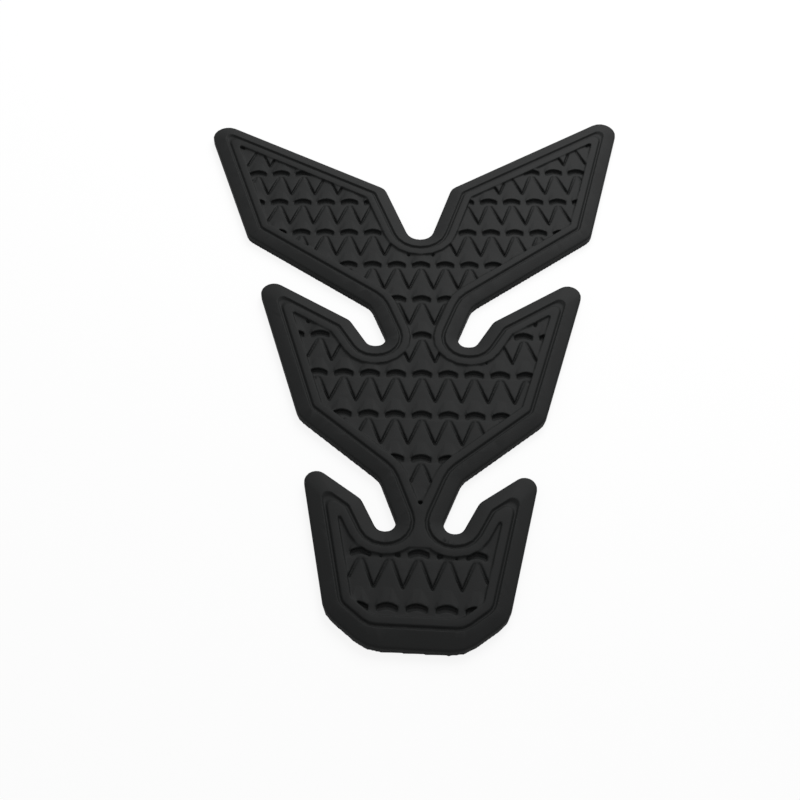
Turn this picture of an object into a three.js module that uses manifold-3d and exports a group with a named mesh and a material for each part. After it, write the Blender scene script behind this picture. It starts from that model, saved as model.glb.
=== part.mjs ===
// A motorcycle tank pad: one moulded rubber skin, three pairs of wings on a spine.
// It lies flat: the glued face is z = 0, +Z is away from the tank, +Y runs up the pad to the wide wings.
// Sizes are in millimetres and angles in degrees. Places along Y are measured from the foot, and the
// finished pad is then moved so that the origin is under the middle of its length.
// The skin is soft: as it lies, its spine bows a little to the right.

import * as THREE from 'three';
import { mergeVertices } from 'three/addons/utils/BufferGeometryUtils.js';
import Module from 'manifold-3d';

// How far the middle of the spine stands to the right of its two ends.
const BOW = 2.15;

// Section through the edge, from the outline inwards. The border is wider along the foot.
const SIDE_WALL = 2.2;
const RIM_HEIGHT = 3.8;
const SHOULDER_ROUND = 0.7;
const SHOULDER_TURN = 75;
const SHOULDER_STEPS = 3;
const BORDER_WIDTH = 4.8;
const FOOT_BORDER_WIDTH = 6.0;
const GROOVE_WIDTH = 1.3;
const GROOVE_DEPTH = 0.7;
const GROOVE_FLOOR_WIDTH = 0.5;
const RIM_WIDTH = 2.3;
const FIELD_DEPTH = 0.65;

// Tightest inside round that the border and the field keep where the outline turns sharply.
const BORDER_MIN_ROUND = 1.8;
const FIELD_MIN_ROUND = 0.5;
const ARC_STEP = 20;

// Foot and hips.
const FOOT_HALF_WIDTH = 13.1;
const FOOT_ROUND = 11;
const HIP = { x: 24.9, y: 9.6, round: 9 };

// The three pairs of wings, as the corners of their right-hand side.
const LOW_TIP = { x: 35.5, y: 58.8, round: 3.5 };
const LOW_ELBOW = { x: 16.9, y: 45.1, round: 4 };
const MID_CORNER = { x: 37.1, y: 73.3, round: 7 };
const MID_TIP = { x: 55.2, y: 131.6, round: 4.1 };
const MID_ELBOW = { x: 22.9, y: 110.9, round: 4 };
const TOP_CORNER = { x: 58.0, y: 147.5, round: 5 };
const TOP_TIP = { x: 76.9, y: 209.0, round: 5.2 };
const SHOULDER = { x: 11.6, y: 170.3, round: 4 };
const NOTCH = { x: 3.4, y: 146.3, round: 4.6 };

// The two pairs of slots between the wings. A slot's inner side leans out from the spine.
const LOW_SLOT = { floor: 34.9, width: 6.3, round: 2.8, lean: 20.7, top: 52.1, topRound: 6 };
const HIGH_SLOT = { floor: 100.7, width: 6.5, round: 2.8, lean: 20.7, top: 116.8, topRound: 6 };
const LOW_NECK_RIDGE = 2.6;
const HIGH_NECK_RIDGE = 12.0;

// Relief: rows of scales and, under each row, hanging teeth. The rows close up towards the top.
const COLUMN_PITCH = 8.02;
const LOWEST_ROW = 44.5;
const ROW_PITCH = 15.6;
const ROW_CLOSING = 0.17;
const ROW_COUNT = 11;
const FOOT_ROW = 12.9;
const FOOT_ROW_PITCH = 16.2;
const FOOT_ROW_COUNT = 2;
const COLUMNS_EACH_SIDE = 9;

// A tooth rises to its tip. The trench along its two sides is deepest at the tip.
const TOOTH_HALF_WIDTH = 3.0;
const TOOTH_START = 3.1;
const TOOTH_LENGTH = 8.1;
const TOOTH_BACK_HEIGHT = 0.08;
const TOOTH_TIP_HEIGHT = 0.6;
const TRENCH_WIDTH = 0.9;
const TRENCH_DEPTH = 0.85;
const TRENCH_BACK_DEPTH = 0.25;

// A scale's lip is a shallow bow with drooping ends, and in front of it is a pocket as wide.
const LIP_HALF_WIDTH = 3.0;
const LIP_DROP = 1.0;
const LIP_KNEE = 1.5;
const LIP_KNEE_DROP = 0.3;
const LIP_HEIGHT = 0.45;
const LIP_END_HEIGHT = 0.35;
const SCALE_WAIST = 2.0;
const SCALE_WAIST_HALF_WIDTH = 2.4;
const SCALE_LENGTH = 4.6;
const SCALE_BACK_HALF_WIDTH = 1.1;
const POCKET_MARGIN = 0.12;
const POCKET_DEPTH = 1.0;
const POCKET_FRONT_DEPTH = 0.5;
const POCKET_LENGTH = 1.8;

// The lower field reaches up between the two lowest slots, to just past its first row of lips.
const THROAT_PAST_ROW = 0.5;
const THROAT_SIDES = 48;

// How far the relief is rooted below the field's floor, and how far cuts and pieces overlap.
const ROOT = 1.4;
const TUCK = 0.3;

const rad = THREE.MathUtils.degToRad;
const FIELD_FLOOR = RIM_HEIGHT - FIELD_DEPTH;
const GROOVE_INNER = BORDER_WIDTH + GROOVE_WIDTH / 2;
const GROOVE_OUTER = BORDER_WIDTH - GROOVE_WIDTH / 2;
const FIELD_INSET = GROOVE_INNER + RIM_WIDTH;
const POCKET_HALF_WIDTH = LIP_HALF_WIDTH - POCKET_MARGIN;

// A slot's corners. The spine keeps a ridge of the named width between its two grooves.
function slotCorners(slot, ridge) {
  const gap = rad(90 - slot.lean);
  const inner = ridge / 2 + GROOVE_INNER + slot.round - slot.round / Math.tan(gap / 2);
  return {
    inner: { x: inner, y: slot.floor, round: slot.round },
    outer: { x: inner + slot.width, y: slot.floor, round: slot.round },
    top: { x: inner + (slot.top - slot.floor) * Math.tan(rad(slot.lean)), y: slot.top, round: slot.topRound },
    meet: { x: 0, y: slot.floor - inner / Math.tan(rad(slot.lean)), round: 0 },
  };
}

const lowSlot = slotCorners(LOW_SLOT, LOW_NECK_RIDGE);
const highSlot = slotCorners(HIGH_SLOT, HIGH_NECK_RIDGE);

const footSide = [{ x: FOOT_HALF_WIDTH, y: 0, round: FOOT_ROUND }, HIP, LOW_TIP, LOW_ELBOW, lowSlot.outer];
const upperSide = [lowSlot.top, MID_CORNER, MID_TIP, MID_ELBOW, highSlot.outer, highSlot.inner,
  highSlot.top, TOP_CORNER, TOP_TIP, SHOULDER, NOTCH];

// A closed outline, anticlockwise, from the corners of its right half.
function mirrored(right) {
  const left = right.filter((c) => c.x > 0).reverse().map((c) => ({ ...c, x: -c.x }));
  return [...right, ...left];
}

// Where the line a-b crosses the line c-d.
function crossing(a, b, c, d) {
  const way = { x: b.x - a.x, y: b.y - a.y };
  const other = { x: d.x - c.x, y: d.y - c.y };
  const t = ((c.x - a.x) * other.y - (c.y - a.y) * other.x) / (way.x * other.y - way.y * other.x);
  return { x: a.x + way.x * t, y: a.y + way.y * t, round: 0 };
}

// The lower field runs up into its wings as a spike between their long sides.
const spike = crossing(HIP, LOW_TIP, lowSlot.outer, LOW_ELBOW);

const OUTLINE = mirrored([...footSide, lowSlot.inner, ...upperSide]);
const UPPER_FIELD = mirrored([lowSlot.meet, ...upperSide]);
const LOWER_FIELD = mirrored([footSide[0], HIP, spike, lowSlot.outer]);

// How far an edge moves for an inset of the loop: the foot's edge moves further, over its wider border.
function edgeInset(a, b, inset) {
  const more = a.y === 0 && b.y === 0 ? FOOT_BORDER_WIDTH - BORDER_WIDTH : 0;
  return inset + more * Math.min(inset / GROOVE_OUTER, 1);
}

// Where the lines a-b and b-c cross after both have moved inwards.
function insetCorner(a, b, c, inset) {
  const before = new THREE.Vector2(b.x - a.x, b.y - a.y).normalize();
  const after = new THREE.Vector2(c.x - b.x, c.y - b.y).normalize();
  const cross = before.x * after.y - before.y * after.x;
  const first = edgeInset(a, b, inset);
  const along = (edgeInset(b, c, inset) - first * before.dot(after)) / cross;
  const corner = new THREE.Vector2(b.x - before.y * first, b.y + before.x * first);
  return { corner: corner.addScaledVector(before, -along), before, after, cross };
}

// The outline moved inwards by inset, its corners rounded. An outer corner's round shrinks with
// the inset and an inner corner's grows, and each corner always gives as many points.
function insetLoop(corners, inset, minRound) {
  const loop = [];
  corners.forEach((b, i) => {
    const a = corners[(i + corners.length - 1) % corners.length];
    const c = corners[(i + 1) % corners.length];
    const { corner, before, after, cross } = insetCorner(a, b, c, inset);
    const turn = Math.atan2(cross, before.dot(after));
    const round = turn > 0 ? Math.max(b.round - inset, minRound) : b.round + inset;
    const side = Math.sign(turn);
    const start = corner.clone().addScaledVector(before, -round * Math.tan(Math.abs(turn) / 2));
    const centre = new THREE.Vector2(start.x - before.y * side * round, start.y + before.x * side * round);
    const steps = Math.max(2, Math.round(Math.abs(turn) / rad(ARC_STEP)));
    for (let k = 0; k <= steps; k += 1) {
      loop.push(start.clone().rotateAround(centre, turn * k / steps));
    }
  });
  return loop;
}

// A closed mesh from loops of as many points each, joined in order, its two ends capped.
function skin(loops) {
  const count = loops[0].points.length;
  const position = loops.flatMap(({ points, z }) => points.flatMap((p) => [p.x, p.y, z]));
  const index = [];
  for (let ring = 0; ring + 1 < loops.length; ring += 1) {
    for (let i = 0; i < count; i += 1) {
      const a = ring * count + i;
      const b = ring * count + (i + 1) % count;
      index.push(a, b, b + count, a, b + count, a + count);
    }
  }
  const last = (loops.length - 1) * count;
  for (const [a, b, c] of THREE.ShapeUtils.triangulateShape(loops[0].points, [])) {
    index.push(a, c, b);
  }
  for (const [a, b, c] of THREE.ShapeUtils.triangulateShape(loops[loops.length - 1].points, [])) {
    index.push(last + a, last + b, last + c);
  }
  const geometry = new THREE.BufferGeometry();
  geometry.setAttribute('position', new THREE.Float32BufferAttribute(position, 3));
  geometry.setIndex(index);
  return geometry;
}

const wasm = await Module();
wasm.setup();

function solid(geometry) {
  const bare = geometry.clone();
  bare.deleteAttribute('normal');
  bare.deleteAttribute('uv');
  const merged = mergeVertices(bare, 1e-4);
  const vertProperties = new Float32Array(merged.attributes.position.array);
  const triVerts = new Uint32Array(merged.index.array);
  return new wasm.Manifold(new wasm.Mesh({ numProp: 3, vertProperties, triVerts }));
}

function geometryOf(manifold) {
  const mesh = manifold.getMesh();
  const geometry = new THREE.BufferGeometry();
  geometry.setAttribute('position', new THREE.BufferAttribute(mesh.vertProperties, 3));
  geometry.setIndex(new THREE.BufferAttribute(mesh.triVerts, 1));
  geometry.computeVertexNormals();
  return geometry;
}

// The blank: upright side, rounded shoulder, gently sloping border, groove and flat top.
function blank() {
  const rings = [{ inset: 0, z: 0 }, { inset: 0, z: SIDE_WALL }];
  for (let step = 1; step <= SHOULDER_STEPS; step += 1) {
    const angle = rad(SHOULDER_TURN) * step / SHOULDER_STEPS;
    rings.push({
      inset: SHOULDER_ROUND * (1 - Math.cos(angle)),
      z: SIDE_WALL + SHOULDER_ROUND * Math.sin(angle),
    });
  }
  rings.push({ inset: GROOVE_OUTER, z: RIM_HEIGHT });
  rings.push({ inset: BORDER_WIDTH - GROOVE_FLOOR_WIDTH / 2, z: RIM_HEIGHT - GROOVE_DEPTH });
  rings.push({ inset: BORDER_WIDTH + GROOVE_FLOOR_WIDTH / 2, z: RIM_HEIGHT - GROOVE_DEPTH });
  rings.push({ inset: GROOVE_INNER, z: RIM_HEIGHT });
  return skin(rings.map(({ inset, z }) => ({ points: insetLoop(OUTLINE, inset, BORDER_MIN_ROUND), z })));
}

// An upright block over a field, from a height up to a height.
function upright(points, low, high) {
  const settings = { depth: high - low, bevelEnabled: false };
  return solid(new THREE.ExtrudeGeometry(new THREE.Shape(points), settings).translate(0, 0, low));
}

// The lower field's throat: what the rims round the two lowest slots leave free between them.
function throat(inset, low, high) {
  const gap = rad(90 - LOW_SLOT.lean);
  const middle = {
    x: lowSlot.inner.x + LOW_SLOT.round / Math.tan(gap / 2),
    y: LOW_SLOT.floor + LOW_SLOT.round,
  };
  const top = FOOT_ROW + FOOT_ROW_PITCH + THROAT_PAST_ROW + FIELD_INSET - inset;
  const foot = LOW_SLOT.floor - inset - TUCK;
  const corners = [[-middle.x, foot], [middle.x, foot], [middle.x, top], [-middle.x, top]];
  let free = upright(corners.map(([x, y]) => new THREE.Vector2(x, y)), low, high);
  for (const side of [-1, 1]) {
    const reach = LOW_SLOT.round + inset;
    const round = new THREE.CylinderGeometry(reach, reach, high - low + ROOT, THROAT_SIDES);
    round.rotateX(rad(90)).translate(side * middle.x, middle.y, (low + high) / 2);
    free = free.subtract(solid(round));
  }
  return free;
}

function upperBlock(inset, low, high) {
  return upright(insetLoop(UPPER_FIELD, inset, FIELD_MIN_ROUND), low, high);
}

function lowerBlock(inset, low, high) {
  const bowl = upright(insetLoop(LOWER_FIELD, inset, FIELD_MIN_ROUND), low, high);
  return bowl.add(throat(inset, low, high));
}

// A solid with upright sides on a plan of points, each with its own two heights above the field.
function block(plan, bottoms, tops, faces) {
  const count = plan.length;
  const low = plan.flatMap(([x, y], i) => [x, y, FIELD_FLOOR + bottoms[i]]);
  const high = plan.flatMap(([x, y], i) => [x, y, FIELD_FLOOR + tops[i]]);
  const index = [];
  for (let i = 0; i < count; i += 1) {
    const next = (i + 1) % count;
    index.push(i, next, next + count, i, next + count, i + count);
  }
  for (const [a, b, c] of faces) {
    index.push(a + count, b + count, c + count, a, c, b);
  }
  const geometry = new THREE.BufferGeometry();
  geometry.setAttribute('position', new THREE.Float32BufferAttribute([...low, ...high], 3));
  geometry.setIndex(index);
  return geometry;
}

// A tooth hangs from its row: a triangle that rises to its tip.
const tooth = block(
  [[0, -TOOTH_START - TOOTH_LENGTH], [TOOTH_HALF_WIDTH, -TOOTH_START], [-TOOTH_HALF_WIDTH, -TOOTH_START]],
  Array(3).fill(-ROOT),
  [TOOTH_TIP_HEIGHT, TOOTH_BACK_HEIGHT, TOOTH_BACK_HEIGHT],
  [[0, 1, 2]],
);

// A scale rises from the floor to its lip.
const scale = block(
  [
    [0, 0], [LIP_KNEE, -LIP_KNEE_DROP], [LIP_HALF_WIDTH, -LIP_DROP],
    [SCALE_WAIST_HALF_WIDTH, SCALE_WAIST], [SCALE_BACK_HALF_WIDTH, SCALE_LENGTH],
    [-SCALE_BACK_HALF_WIDTH, SCALE_LENGTH], [-SCALE_WAIST_HALF_WIDTH, SCALE_WAIST],
    [-LIP_HALF_WIDTH, -LIP_DROP], [-LIP_KNEE, -LIP_KNEE_DROP],
  ],
  Array(9).fill(-ROOT),
  [LIP_HEIGHT, LIP_HEIGHT, LIP_END_HEIGHT, 0, 0, 0, 0, LIP_END_HEIGHT, LIP_HEIGHT],
  [[0, 1, 4], [1, 3, 4], [1, 2, 3], [0, 4, 5], [0, 5, 8], [8, 5, 6], [8, 6, 7]],
);

// A tooth's trench is a larger triangle that is cut before the tooth is set.
const slant = Math.hypot(TOOTH_HALF_WIDTH, TOOTH_LENGTH);
const trenchSide = TOOTH_HALF_WIDTH + TRENCH_WIDTH * slant / TOOTH_LENGTH;
const trenchTip = TOOTH_START + TOOTH_LENGTH + TRENCH_WIDTH * slant / TOOTH_HALF_WIDTH / 2;
const trench = block(
  [[0, -trenchTip], [trenchSide, -TOOTH_START], [-trenchSide, -TOOTH_START]],
  [-TRENCH_DEPTH, -TRENCH_BACK_DEPTH, -TRENCH_BACK_DEPTH],
  Array(3).fill(TUCK),
  [[0, 1, 2]],
);

// The pocket is deepest under the lip, and its front edge runs parallel to it.
const pocket = block(
  [
    [0, -POCKET_LENGTH], [LIP_KNEE, -LIP_KNEE_DROP - POCKET_LENGTH],
    [POCKET_HALF_WIDTH, -LIP_DROP - POCKET_LENGTH], [POCKET_HALF_WIDTH, TUCK - LIP_DROP],
    [LIP_KNEE, TUCK - LIP_KNEE_DROP], [0, TUCK], [-LIP_KNEE, TUCK - LIP_KNEE_DROP],
    [-POCKET_HALF_WIDTH, TUCK - LIP_DROP], [-POCKET_HALF_WIDTH, -LIP_DROP - POCKET_LENGTH],
    [-LIP_KNEE, -LIP_KNEE_DROP - POCKET_LENGTH],
  ],
  [
    ...Array(3).fill(-POCKET_FRONT_DEPTH), ...Array(5).fill(-POCKET_DEPTH),
    ...Array(2).fill(-POCKET_FRONT_DEPTH),
  ],
  Array(10).fill(TUCK),
  [[0, 1, 4], [1, 2, 3], [1, 3, 4], [0, 4, 5], [0, 5, 6], [0, 6, 9], [9, 6, 7], [9, 7, 8]],
);

// One piece on each column of a row, or between the columns, for all rows.
function pattern(piece, rows, shift) {
  const copies = [];
  for (const y of rows) {
    for (let k = -COLUMNS_EACH_SIDE; k <= COLUMNS_EACH_SIDE; k += 1) {
      copies.push(solid(piece.clone().translate((k + shift) * COLUMN_PITCH, y, 0)));
    }
  }
  return wasm.Manifold.union(copies);
}

// Sinks a field into the pad, cuts its pockets and trenches, and sets its scales and teeth.
// All are trimmed to the field.
function withField(pad, field, rows, toothRows) {
  const hollows = pattern(pocket, rows, 0).add(pattern(trench, toothRows, 0.5));
  const raised = pattern(scale, rows, 0).add(pattern(tooth, toothRows, 0.5));
  return pad
    .subtract(field(FIELD_INSET, FIELD_FLOOR, RIM_HEIGHT + TUCK))
    .subtract(hollows.intersect(field(FIELD_INSET, FIELD_FLOOR - POCKET_DEPTH - TUCK, RIM_HEIGHT)))
    .add(raised.intersect(field(FIELD_INSET - TUCK, FIELD_FLOOR - ROOT - TUCK, RIM_HEIGHT)));
}

// The finished pad's points, with the spine bent into an arc.
function bowed(geometry) {
  const position = geometry.attributes.position;
  geometry.computeBoundingBox();
  const { min, max } = geometry.boundingBox;
  const middle = (min.y + max.y) / 2;
  const radius = (max.y - min.y) ** 2 / (8 * BOW);
  for (let i = 0; i < position.count; i += 1) {
    const turn = (position.getY(i) - middle) / radius;
    const reach = radius + position.getX(i);
    position.setXY(i, reach * Math.cos(turn) - radius, reach * Math.sin(turn));
  }
  return geometry;
}

const rowAt = (n) => LOWEST_ROW + ROW_PITCH * n - ROW_CLOSING * n * (n - 1) / 2;
const upperRows = Array.from({ length: ROW_COUNT }, (_, n) => rowAt(n));
const footRows = Array.from({ length: FOOT_ROW_COUNT }, (_, n) => FOOT_ROW + FOOT_ROW_PITCH * n);

const withUpper = withField(solid(blank()), upperBlock, upperRows, upperRows);
const moulded = withField(withUpper, lowerBlock, footRows, footRows.slice(1));

const rubber = new THREE.MeshStandardMaterial({ color: 0x232424, roughness: 0.62, metalness: 0 });
const pad = new THREE.Mesh(bowed(geometryOf(moulded)), rubber);
pad.name = 'tank_pad';
pad.geometry.computeBoundingBox();
pad.geometry.computeVertexNormals();
const { min, max } = pad.geometry.boundingBox;
pad.position.set(-(min.x + max.x) / 2, -(min.y + max.y) / 2, 0);

const group = new THREE.Group();
group.add(pad);
export default group;
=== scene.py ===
# %% [markdown]
# # A motorcycle tank pad
# The object is one skin of black moulded rubber that is glued to the top of a fuel tank. This lesson
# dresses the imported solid: it softens the edges as a mould does, gives the skin a rubber finish, and
# lights it as on a packshot table. The first step loads the solid, which is the fixed frame that all
# sizes are read from.

# %% Load the frame
import math

import bmesh
import bpy
from mathutils import Matrix, Vector


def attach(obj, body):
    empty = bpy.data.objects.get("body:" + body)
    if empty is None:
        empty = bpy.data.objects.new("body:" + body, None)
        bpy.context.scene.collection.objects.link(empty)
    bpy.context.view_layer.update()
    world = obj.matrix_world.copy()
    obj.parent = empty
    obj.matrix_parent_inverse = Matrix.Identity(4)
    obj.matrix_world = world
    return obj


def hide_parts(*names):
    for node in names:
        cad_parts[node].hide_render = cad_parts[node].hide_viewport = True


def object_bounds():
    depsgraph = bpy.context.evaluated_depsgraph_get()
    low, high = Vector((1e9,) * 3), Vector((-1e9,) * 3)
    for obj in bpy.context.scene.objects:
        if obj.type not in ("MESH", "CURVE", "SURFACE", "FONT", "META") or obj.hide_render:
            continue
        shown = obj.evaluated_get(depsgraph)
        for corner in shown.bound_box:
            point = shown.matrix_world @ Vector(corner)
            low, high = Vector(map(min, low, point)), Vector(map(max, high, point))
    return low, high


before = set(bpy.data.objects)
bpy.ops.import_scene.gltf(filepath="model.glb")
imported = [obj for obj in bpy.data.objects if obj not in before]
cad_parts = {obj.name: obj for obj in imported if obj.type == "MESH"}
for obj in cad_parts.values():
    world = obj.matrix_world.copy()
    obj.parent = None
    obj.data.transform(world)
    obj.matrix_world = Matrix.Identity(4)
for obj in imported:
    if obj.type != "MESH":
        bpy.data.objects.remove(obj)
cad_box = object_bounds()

MM = 0.001
low, high = cad_box
print("frame loaded, size in mm:", [round(v / MM, 1) for v in high - low])

# %% [markdown]
# ## Small helpers
# Colours are easiest to write as the hex values that a paint program shows. Shaders work in linear
# light, so one function turns the one into the other. A second function adds a shader node with its
# settings and links in one line, so a material below reads as a list of what it does.


# %% Helpers for colours and nodes
def linear(hex_colour):
    """An sRGB hex colour as the linear colour that a shader works with."""
    channels = [(hex_colour >> shift & 255) / 255 for shift in (16, 8, 0)]
    curve = [c / 12.92 if c <= 0.04045 else ((c + 0.055) / 1.055) ** 2.4 for c in channels]
    return (*curve, 1.0)


def add_node(tree, kind, inputs=None, **settings):
    """Adds a node. An input is set to a number or colour, or linked where it is given a socket."""
    node = tree.nodes.new(kind)
    for name, value in settings.items():
        setattr(node, name, value)
    for name, value in (inputs or {}).items():
        if isinstance(value, bpy.types.NodeSocket):
            tree.links.new(value, node.inputs[name])
        else:
            node.inputs[name].default_value = value
    return node


def new_material(name):
    """An empty node material and its output node."""
    material = bpy.data.materials.new(name)
    material.use_nodes = True
    material.node_tree.nodes.clear()
    return material, add_node(material.node_tree, "ShaderNodeOutputMaterial")


print("sRGB 808080 is linear", [round(c, 3) for c in linear(0x808080)[:3]])

# %% [markdown]
# ## Camera
# The pad lies flat and is seen from its foot, tilted 35 degrees from straight above. The tilt could be
# turned by hand until it looks right, but the relief gives it: its even rows are squeezed against its
# columns by just that angle. The camera stands close, so the wide wings, which are further off, look a
# little smaller than they are.

# %% Place the camera
TILT = math.radians(35.0)
TURN = math.radians(1.08)
ROLL = math.radians(0.53)
DISTANCE = 338.8 * MM
AIM = Vector((-4.73 * MM, -20.88 * MM, 0))
LENS_MM = 49.85
SENSOR_MM = 36
NEAREST = 10 * MM

lean = math.sin(TILT)
towards_camera = Vector((-lean * math.sin(TURN), -lean * math.cos(TURN), math.cos(TILT)))
camera_data = bpy.data.cameras.new("camera")
camera_data.lens = LENS_MM
camera_data.sensor_width = SENSOR_MM
camera_data.clip_start = NEAREST
camera = bpy.data.objects.new("camera", camera_data)
right = Vector((0, 1, 0)).cross(towards_camera).normalized()
up = towards_camera.cross(right)
turned = Matrix((right, up, towards_camera)).transposed() @ Matrix.Rotation(ROLL, 3, "Z")
camera.matrix_world = Matrix.Translation(AIM + towards_camera * DISTANCE) @ turned.to_4x4()
bpy.context.collection.objects.link(camera)
bpy.context.scene.camera = camera
bpy.context.scene.view_settings.view_transform = "Standard"
print("camera at", [round(v, 3) for v in camera.location])

# %% [markdown]
# ## Floor
# A packshot lies on white paper. Lit paper alone is never quite evenly white, and a floor that only
# glows would lose the shadow, so the two are mixed. For the camera most of the white is the paper's
# own, and the rest is lit by the lamp and keeps the pad's faint soft shadow. The rubber still sees
# plain lit paper, so the glow adds no light to it.

# %% Make the floor
FLOOR_SIZE = 8.0
PAPER = 0xF4F4F4
WHITE = linear(0xFFFFFF)
OWN_WHITE = 0.86

floor_mesh = bpy.data.meshes.new("floor")
shape = bmesh.new()
bmesh.ops.create_grid(shape, x_segments=1, y_segments=1, size=FLOOR_SIZE / 2)
shape.to_mesh(floor_mesh)
shape.free()
floor = bpy.data.objects.new("floor", floor_mesh)
bpy.context.collection.objects.link(floor)

# Matt white paper: an even white to the eye, with no shine of its own.
paper, output = new_material("white_paper")
tree = paper.node_tree
lit = add_node(tree, "ShaderNodeBsdfDiffuse", {"Color": linear(PAPER)})
own = add_node(tree, "ShaderNodeEmission", {"Color": WHITE, "Strength": 1.0})
ray = add_node(tree, "ShaderNodeLightPath")
seen = add_node(
    tree, "ShaderNodeMath", {0: ray.outputs["Is Camera Ray"], 1: OWN_WHITE}, operation="MULTIPLY"
)
both = add_node(tree, "ShaderNodeMixShader", {0: seen.outputs[0], 1: lit.outputs[0], 2: own.outputs[0]})
tree.links.new(both.outputs[0], output.inputs["Surface"])
floor_mesh.materials.append(paper)
print("floor", FLOOR_SIZE, "m wide, own white", OWN_WHITE)

# %% [markdown]
# ## Light
# Black rubber shows light more by its sheen than by its colour, so where the lamp stands matters more
# than its strength. A small lamp would draw hard bright lines along the rim. One large soft lamp
# stands behind the wide wings and to the right: the wings and the right half are a little lighter, the
# foot is darker, and each lip's steep front stays dark.


# %% Place the lamp
def soft_lamp(name, place_mm, width_mm, watts):
    """A square softbox that faces the middle of the pad."""
    lamp = bpy.data.lights.new(name, "AREA")
    lamp.size = width_mm * MM
    lamp.energy = watts
    stand = bpy.data.objects.new(name, lamp)
    stand.location = Vector(place_mm) * MM
    stand.rotation_euler = stand.location.to_track_quat("Z", "Y").to_euler()
    bpy.context.collection.objects.link(stand)
    return stand


key = soft_lamp("key_softbox", place_mm=(135, 400, 420), width_mm=380, watts=2.9)
print(key.name, "stands", round(key.location.length / MM), "mm from the middle of the pad")

# %% [markdown]
# ## Surroundings
# A studio's white walls fill the shadows, and a pad in the dark would show only its lamp side. The
# world stands for those walls. They light the pad at a little over half of white, so the hollows of
# the relief stay dark, while the camera sees plain white past the floor's edge.

# %% Make the white surroundings
SURROUND = 0.56
world = bpy.data.worlds.new("studio")
world.use_nodes = True
bpy.context.scene.world = world
tree = world.node_tree
tree.nodes.clear()
ray = add_node(tree, "ShaderNodeLightPath")
level = add_node(
    tree, "ShaderNodeMapRange", {"Value": ray.outputs["Is Camera Ray"], "To Min": SURROUND, "To Max": 1.0}
)
sky = add_node(tree, "ShaderNodeBackground", {"Color": WHITE, "Strength": level.outputs[0]})
add_node(tree, "ShaderNodeOutputWorld", {"Surface": sky.outputs[0]})
print("surroundings light the pad at", SURROUND)

# %% [markdown]
# ## Rubber
# Tank pads are moulded from a soft black rubber. Carbon black makes it a neutral near black, and the
# mould's fine blasted face leaves it matt with a faint broad sheen. A flat colour would look like
# plastic, so two noise patterns are used, both worked out from real sizes. A fine one lifts the
# surface as the grain of the mould does. A slow one varies tone and sheen a little, as handling and
# cooling do.

# %% Make the rubber finish
RUBBER_BLACK = 0x151616
RUBBER_GREY = 0x191A1A
RUBBER_IOR = 1.52
SHEEN_LEVEL = 0.14
SHEEN_ROUGHNESS = (0.58, 0.68)
CLOUDS = 14 * MM
CLOUDS_DETAIL = 3.0
# The real grain is about 0.1 mm, finer than a pixel here, so it is drawn three times as coarse.
GRAIN = 0.3 * MM
GRAIN_RELIEF = 0.03 * MM
GRAIN_DETAIL = 2.0

# Moulded black rubber: deep black in the hollows, with a soft grey bloom on what faces the lamp.
rubber, output = new_material("moulded_black_rubber")
tree = rubber.node_tree
place = add_node(tree, "ShaderNodeTexCoord").outputs["Object"]
grain = add_node(tree, "ShaderNodeTexNoise", {"Vector": place, "Scale": 1 / GRAIN, "Detail": GRAIN_DETAIL})
clouds = add_node(tree, "ShaderNodeTexNoise", {
    "Vector": place,
    "Scale": 1 / CLOUDS,
    "Detail": CLOUDS_DETAIL,
})
# In a colour Mix node, input 0 is the share, 6 and 7 are the two colours, and output 2 is the result.
tone = add_node(tree, "ShaderNodeMix", {
    0: clouds.outputs["Fac"],
    6: linear(RUBBER_BLACK),
    7: linear(RUBBER_GREY),
}, data_type="RGBA")
sheen = add_node(tree, "ShaderNodeMapRange", {
    "Value": clouds.outputs["Fac"],
    "To Min": SHEEN_ROUGHNESS[0],
    "To Max": SHEEN_ROUGHNESS[1],
})
bump = add_node(
    tree, "ShaderNodeBump", {"Height": grain.outputs["Fac"], "Distance": GRAIN_RELIEF, "Strength": 1.0}
)
skin = add_node(tree, "ShaderNodeBsdfPrincipled", {
    "Base Color": tone.outputs[2],
    "Roughness": sheen.outputs[0],
    "IOR": RUBBER_IOR,
    "Specular IOR Level": SHEEN_LEVEL,
    "Normal": bump.outputs[0],
})
tree.links.new(skin.outputs[0], output.inputs["Surface"])
print("rubber finish has", len(tree.nodes), "nodes, grain", round(GRAIN / MM, 2), "mm")

# %% [markdown]
# ## The moulded skin
# The solid has the true forms, but its edges are knife sharp, and no mould leaves such an edge. A
# Bevel modifier would be the usual way to round them, but it can tangle where small teeth and scales
# run into the rim. So a copy is remeshed into even faces, small enough to keep each tooth. The solid
# is loose triangles, so the copy's doubled points are merged first.

# %% Remesh a copy of the solid
WELD = 0.002 * MM
VOXEL = 0.25 * MM

shape = bmesh.new()
shape.from_mesh(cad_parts["tank_pad"].data)
bmesh.ops.remove_doubles(shape, verts=shape.verts, dist=WELD)
pad_mesh = bpy.data.meshes.new("moulded_pad")
shape.to_mesh(pad_mesh)
shape.free()
pad = bpy.data.objects.new("moulded_pad", pad_mesh)
bpy.context.collection.objects.link(pad)


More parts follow.
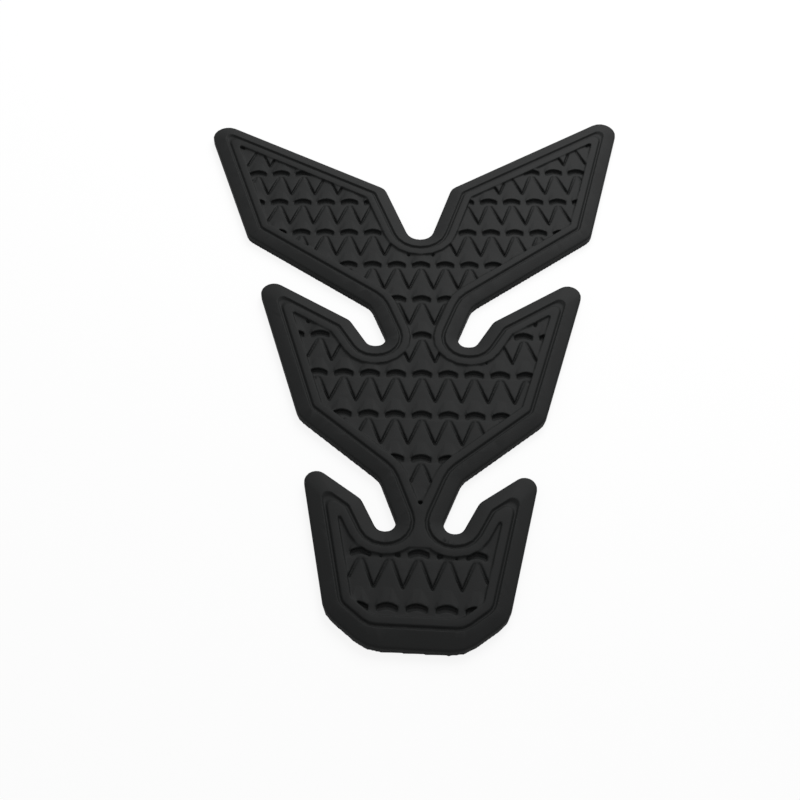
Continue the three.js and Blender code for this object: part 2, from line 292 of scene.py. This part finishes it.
def finished_mesh(thing):
    """The object's mesh with its modifiers worked in, which are then taken off."""
    worked = thing.evaluated_get(bpy.context.evaluated_depsgraph_get())
    mesh = bpy.data.meshes.new_from_object(worked)
    thing.modifiers.clear()
    return mesh


remesh = pad.modifiers.new("even_faces", "REMESH")
remesh.mode = "VOXEL"
remesh.voxel_size = VOXEL
even = finished_mesh(pad)
print("remeshed to", len(even.polygons), "faces")

# %% [markdown]
# ## Soft edges
# Rubber fills a mould's corners with a small round. Smoothing each point towards its neighbours gives
# every edge and every inside corner that round at once. The glued face is left out of it and joined
# into one flat face, because it lies flat on the tank.

# %% Smooth the moulded side
SMOOTH_ROUNDS = 2
SMOOTH_SHARE = 0.5
GLUED = 0.1 * MM

shape = bmesh.new()
shape.from_mesh(even)
above = [v for v in shape.verts if v.co.z > low.z + GLUED]
for _ in range(SMOOTH_ROUNDS):
    bmesh.ops.smooth_vert(
        shape, verts=above, factor=SMOOTH_SHARE, use_axis_x=True, use_axis_y=True, use_axis_z=True
    )
glued = [f for f in shape.faces if all(v.co.z <= low.z + GLUED for v in f.verts)]
bmesh.ops.dissolve_faces(shape, faces=glued, use_verts=True)
bmesh.ops.triangulate(shape, faces=shape.faces)
shape.to_mesh(pad_mesh)
shape.free()
bpy.data.meshes.remove(even)
print("softened to", len(pad_mesh.polygons), "triangles")

# %% [markdown]
# ## Fewer faces, and the finish
# Even faces waste most of their number on the flat border. A Decimate modifier joins them there and
# keeps them where the relief bends. The dressed pad then takes the rubber finish, moves with the
# part's only body, and stands in for the solid.

# %% Thin and dress the pad
MOST_TRIANGLES = 190_000

thin = pad.modifiers.new("fewer_on_flats", "DECIMATE")
thin.ratio = min(1.0, MOST_TRIANGLES / len(pad_mesh.polygons))
pad.data = finished_mesh(pad)
bpy.data.meshes.remove(pad_mesh)
pad.data.name = "moulded_pad"
pad.data.shade_smooth()
pad.data.materials.clear()
pad.data.materials.append(rubber)
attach(pad, "root")
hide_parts("tank_pad")
print("pad has", len(pad.data.polygons), "triangles")
